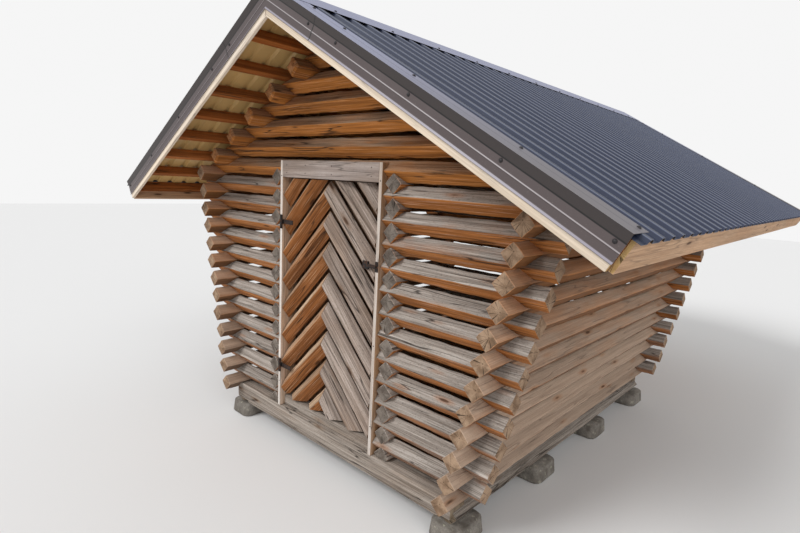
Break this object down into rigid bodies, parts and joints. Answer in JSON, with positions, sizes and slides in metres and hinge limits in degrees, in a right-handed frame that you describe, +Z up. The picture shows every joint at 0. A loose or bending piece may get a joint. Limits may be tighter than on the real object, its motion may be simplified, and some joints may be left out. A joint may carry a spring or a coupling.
{
  "type": "timber log store",
  "caption": "Small store built of squared timbers laid on edge with outward-leaning side walls, a chevron timber door and a ribbed metal gable roof that runs on behind the room, for keeping firewood dry.",
  "frame": {"origin": "on the ground, under the middle of the roof", "axes": "+X to the right as seen from the front, +Y from the front wall to the back, +Z up"},
  "size_m": [4.6004, 5.972, 3.3388],
  "materials": {
    "stone": "rough",
    "sill_wood": "weathered",
    "floor_wood": "sawn",
    "wall_wood": "weathered",
    "roof_wood": "sawn",
    "pale_board": "planed",
    "frame_wood": "weathered",
    "door_wood": "weathered",
    "roof_metal": "satin",
    "dark_iron": "dull"
  },
  "bodies": {
    "building": {"foundation_stones": "stone", "left_side_sill": "sill_wood", "right_side_sill": "sill_wood", "front_sill": "sill_wood", "back_sill": "sill_wood", "skirt_boards": "sill_wood", "floor_joists": "floor_wood", "floor_boards": "floor_wood", "left_wall_timbers": "wall_wood", "right_wall_timbers": "wall_wood", "front_wall_timbers_left": "wall_wood", "front_wall_timbers_right": "wall_wood", "front_gable_timbers": "wall_wood", "back_wall_timbers": "wall_wood", "back_gable_timbers": "wall_wood", "doorway_blocks_left": "wall_wood", "doorway_blocks_right": "wall_wood", "purlins_left": "wall_wood", "purlins_right": "wall_wood", "ridge_purlin": "wall_wood", "battens_left": "roof_wood", "battens_right": "roof_wood", "barge_boards_left": "pale_board", "barge_boards_right": "pale_board", "eave_fascia_left": "pale_board", "eave_fascia_right": "pale_board", "roof_sheet_left": "roof_metal", "roof_sheet_right": "roof_metal", "verge_trims_left": "roof_metal", "verge_trims_right": "roof_metal", "ridge_cap": "roof_metal", "door_jamb_left": "frame_wood", "door_jamb_right": "frame_wood", "door_header": "frame_wood", "threshold": "sill_wood", "hinges_on_jamb": "dark_iron", "staple": "dark_iron"},
    "door": {"door_timbers_left": "door_wood", "door_timbers_right": "door_wood", "door_back_boards": "door_wood", "door_straps": "dark_iron", "hasp_block": "dark_iron"},
    "hasp": {"hasp_strap": "dark_iron"}
  },
  "joints": [
    {"name": "door_hinge", "type": "hinge", "parent": "building", "child": "door", "pos_m": [-0.551, -2.468, 1.2535], "axis": [0, 0, -1], "range_deg": [0, 160]},
    {"name": "hasp_hinge", "type": "hinge", "parent": "door", "child": "hasp", "pos_m": [0.44, -2.4655, 1.641], "axis": [0, 0, -1], "range_deg": [0, 150]}
  ]
}
